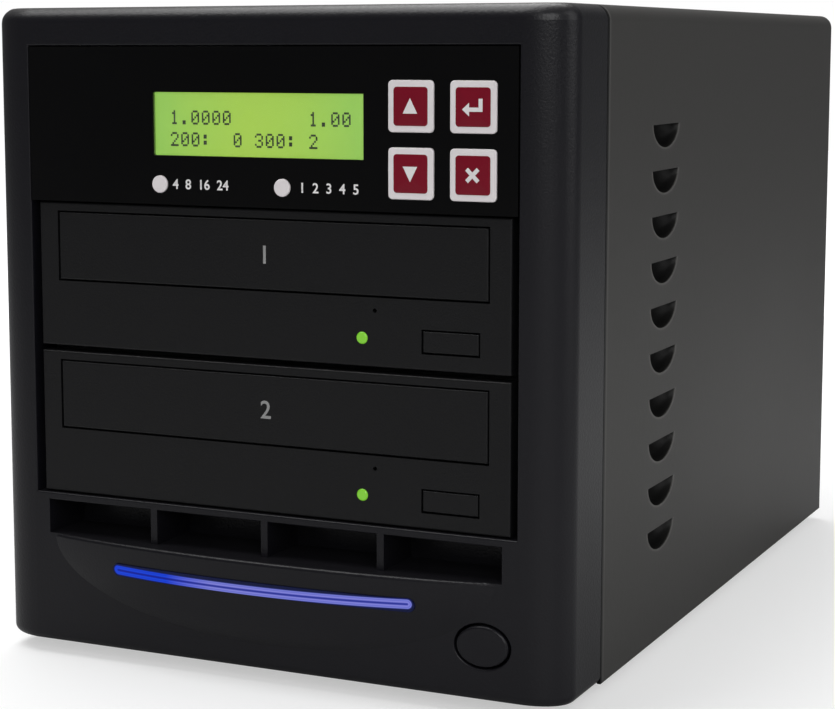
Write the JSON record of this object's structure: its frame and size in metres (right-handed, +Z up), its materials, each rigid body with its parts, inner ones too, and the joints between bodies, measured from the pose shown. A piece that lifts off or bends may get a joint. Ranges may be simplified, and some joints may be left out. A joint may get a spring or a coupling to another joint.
{
  "type": "disc duplicator tower",
  "caption": "Two-bay optical disc duplicator tower with sliding disc trays, a key and display panel, a steel cover with pressed louvres and its own power supply.",
  "frame": {"origin": "on the surface it stands on, under the middle of its bounding box", "axes": "+Z up, the front faces -Y, +X to the right as seen from the front"},
  "size_m": [0.18, 0.2861, 0.1905],
  "materials": {
    "bezel_plastic": "fine moulded grain, near black",
    "cover_paint": "satin dark grey paint, pressed louvres",
    "zinc_steel": "plain zinc-plated sheet",
    "rear_paint": "satin dark grey paint",
    "rubber": "soft moulded",
    "screw_steel": "bright plated",
    "panel_gloss": "smooth black overlay",
    "lcd_clear": "clear pane",
    "lcd_green": "backlit display, yellow green",
    "key_red": "deep red key with a white border",
    "key_white": "white key",
    "board_green": "circuit board with solder resist",
    "light_blue": "lit blue light bar",
    "drive_plastic": "fine moulded grain, black",
    "tray_plastic": "smooth moulded, dark grey",
    "lens_green": "lit green light pipe",
    "white_plastic": "natural acetal",
    "ground_steel": "ground rod",
    "inlet_plastic": "black moulded",
    "fan_plastic": "black moulded",
    "guard_wire": "bright wire"
  },
  "bodies": {
    "case": {"front_bezel": "bezel_plastic", "top_cover": "cover_paint", "base_chassis": "zinc_steel", "rear_panel": "rear_paint", "bay_bracket_left": "zinc_steel", "bay_bracket_right": "zinc_steel", "rubber_feet": "rubber", "case_screws": "screw_steel", "drive_screws": "screw_steel", "control_panel": "panel_gloss", "lcd_window": "lcd_clear", "lcd_module": "lcd_green", "keypad_board": "board_green", "controller_board": "board_green", "light_bar": "light_blue", "light_bar_board": "board_green", "power_switch": "inlet_plastic", "drive_status_lenses": "lens_green", "drive_guide_rods": "ground_steel", "drive_clampers": "tray_plastic", "drive_motors": "zinc_steel", "psu_case": "zinc_steel", "psu_board": "board_green", "psu_fan_frame": "fan_plastic", "mains_inlet": "inlet_plastic", "rear_fan_frame": "fan_plastic", "rear_fan_guard": "guard_wire", "lower_drive_bezel": "drive_plastic", "lower_drive_case": "zinc_steel", "lower_drive_chassis": "tray_plastic", "lower_drive_board": "board_green", "upper_drive_bezel": "drive_plastic", "upper_drive_case": "zinc_steel", "upper_drive_chassis": "tray_plastic", "upper_drive_board": "board_green"},
    "key_up": {"key_up": "key_red"},
    "key_enter": {"key_enter": "key_red"},
    "key_down": {"key_down": "key_red"},
    "key_escape": {"key_escape": "key_red"},
    "function_key_1": {"function_key_1": "key_white"},
    "function_key_2": {"function_key_2": "key_white"},
    "power_button": {"power_button": "bezel_plastic"},
    "lower_tray": {"lower_drive_tray": "tray_plastic", "lower_drive_tray_door": "drive_plastic"},
    "lower_loading_gear": {"lower_drive_loading_gear": "white_plastic"},
    "lower_eject_button": {"lower_drive_eject_button": "drive_plastic"},
    "lower_spindle": {"lower_drive_spindle": "ground_steel"},
    "lower_pickup": {"lower_drive_pickup": "tray_plastic"},
    "lower_sled_gear": {"lower_drive_sled_gear": "white_plastic"},
    "upper_tray": {"upper_drive_tray": "tray_plastic", "upper_drive_tray_door": "drive_plastic"},
    "upper_loading_gear": {"upper_drive_loading_gear": "white_plastic"},
    "upper_eject_button": {"upper_drive_eject_button": "drive_plastic"},
    "upper_spindle": {"upper_drive_spindle": "ground_steel"},
    "upper_pickup": {"upper_drive_pickup": "tray_plastic"},
    "upper_sled_gear": {"upper_drive_sled_gear": "white_plastic"},
    "rear_fan": {"rear_fan_rotor": "fan_plastic"},
    "psu_fan": {"psu_fan_rotor": "fan_plastic"},
    "mains_rocker": {"mains_rocker": "inlet_plastic"}
  },
  "joints": [
    {"name": "key_up_press", "type": "slide", "parent": "case", "child": "key_up", "axis": [0, 1, 0], "range_m": [0, 0.0005], "stiffness_N_per_m": 300, "springref_m": -0.001},
    {"name": "key_enter_press", "type": "slide", "parent": "case", "child": "key_enter", "axis": [0, 1, 0], "range_m": [0, 0.0005], "stiffness_N_per_m": 300, "springref_m": -0.001},
    {"name": "key_down_press", "type": "slide", "parent": "case", "child": "key_down", "axis": [0, 1, 0], "range_m": [0, 0.0005], "stiffness_N_per_m": 300, "springref_m": -0.001},
    {"name": "key_escape_press", "type": "slide", "parent": "case", "child": "key_escape", "axis": [0, 1, 0], "range_m": [0, 0.0005], "stiffness_N_per_m": 300, "springref_m": -0.001},
    {"name": "function_key_1_press", "type": "slide", "parent": "case", "child": "function_key_1", "axis": [0, 1, 0], "range_m": [0, 0.0005], "stiffness_N_per_m": 300, "springref_m": -0.001},
    {"name": "function_key_2_press", "type": "slide", "parent": "case", "child": "function_key_2", "axis": [0, 1, 0], "range_m": [0, 0.0005], "stiffness_N_per_m": 300, "springref_m": -0.001},
    {"name": "power_button_press", "type": "slide", "parent": "case", "child": "power_button", "axis": [0, 1, 0], "range_m": [0, 0.002], "stiffness_N_per_m": 400, "springref_m": -0.002},
    {"name": "lower_tray_slide", "type": "slide", "parent": "case", "child": "lower_tray", "axis": [0, -1, 0], "range_m": [0, 0.132]},
    {"name": "lower_loading_gear_spin", "type": "hinge", "parent": "case", "child": "lower_loading_gear", "pos_m": [-0.0457, -0.119, 0.0696], "axis": [0, 0, 1], "range_deg": [-5, 1210]},
    {"name": "lower_eject_press", "type": "slide", "parent": "case", "child": "lower_eject_button", "axis": [0, 1, 0], "range_m": [0, 0.0008], "stiffness_N_per_m": 300, "springref_m": -0.001},
    {"name": "lower_disc_spin", "type": "hinge", "parent": "case", "child": "lower_spindle", "pos_m": [0, -0.0635, 0.0646], "axis": [0, 0, 1], "continuous": true},
    {"name": "lower_pickup_slide", "type": "slide", "parent": "case", "child": "lower_pickup", "axis": [0, 1, 0], "range_m": [0, 0.032]},
    {"name": "lower_sled_gear_spin", "type": "hinge", "parent": "case", "child": "lower_sled_gear", "pos_m": [-0.0363, -0.0175, 0.0646], "axis": [0, 0, 1], "range_deg": [-5, 300]},
    {"name": "upper_tray_slide", "type": "slide", "parent": "case", "child": "upper_tray", "axis": [0, -1, 0], "range_m": [0, 0.132]},
    {"name": "upper_loading_gear_spin", "type": "hinge", "parent": "case", "child": "upper_loading_gear", "pos_m": [-0.0457, -0.119, 0.11305], "axis": [0, 0, 1], "range_deg": [-5, 1210]},
    {"name": "upper_eject_press", "type": "slide", "parent": "case", "child": "upper_eject_button", "axis": [0, 1, 0], "range_m": [0, 0.0008], "stiffness_N_per_m": 300, "springref_m": -0.001},
    {"name": "upper_disc_spin", "type": "hinge", "parent": "case", "child": "upper_spindle", "pos_m": [0, -0.0635, 0.10805], "axis": [0, 0, 1], "continuous": true},
    {"name": "upper_pickup_slide", "type": "slide", "parent": "case", "child": "upper_pickup", "axis": [0, 1, 0], "range_m": [0, 0.032]},
    {"name": "upper_sled_gear_spin", "type": "hinge", "parent": "case", "child": "upper_sled_gear", "pos_m": [-0.0363, -0.0175, 0.10805], "axis": [0, 0, 1], "range_deg": [-5, 300]},
    {"name": "rear_fan_spin", "type": "hinge", "parent": "case", "child": "rear_fan", "pos_m": [0, 0.1255, 0.116], "axis": [0, 1, 0], "continuous": true},
    {"name": "psu_fan_spin", "type": "hinge", "parent": "case", "child": "psu_fan", "pos_m": [-0.06, 0.1295, 0.02525], "axis": [0, 1, 0], "continuous": true},
    {"name": "mains_rocker_tilt", "type": "hinge", "parent": "case", "child": "mains_rocker", "pos_m": [-0.023, 0.137, 0.03485], "axis": [-1, 0, 0], "range_deg": [0, 16]}
  ],
  "couplings": [
    {"joint": "lower_loading_gear_spin", "follows": "lower_tray_slide", "rad_per_m": 158.73},
    {"joint": "lower_sled_gear_spin", "follows": "lower_pickup_slide", "rad_per_m": 158.73},
    {"joint": "upper_loading_gear_spin", "follows": "upper_tray_slide", "rad_per_m": 158.73},
    {"joint": "upper_sled_gear_spin", "follows": "upper_pickup_slide", "rad_per_m": 158.73}
  ]
}
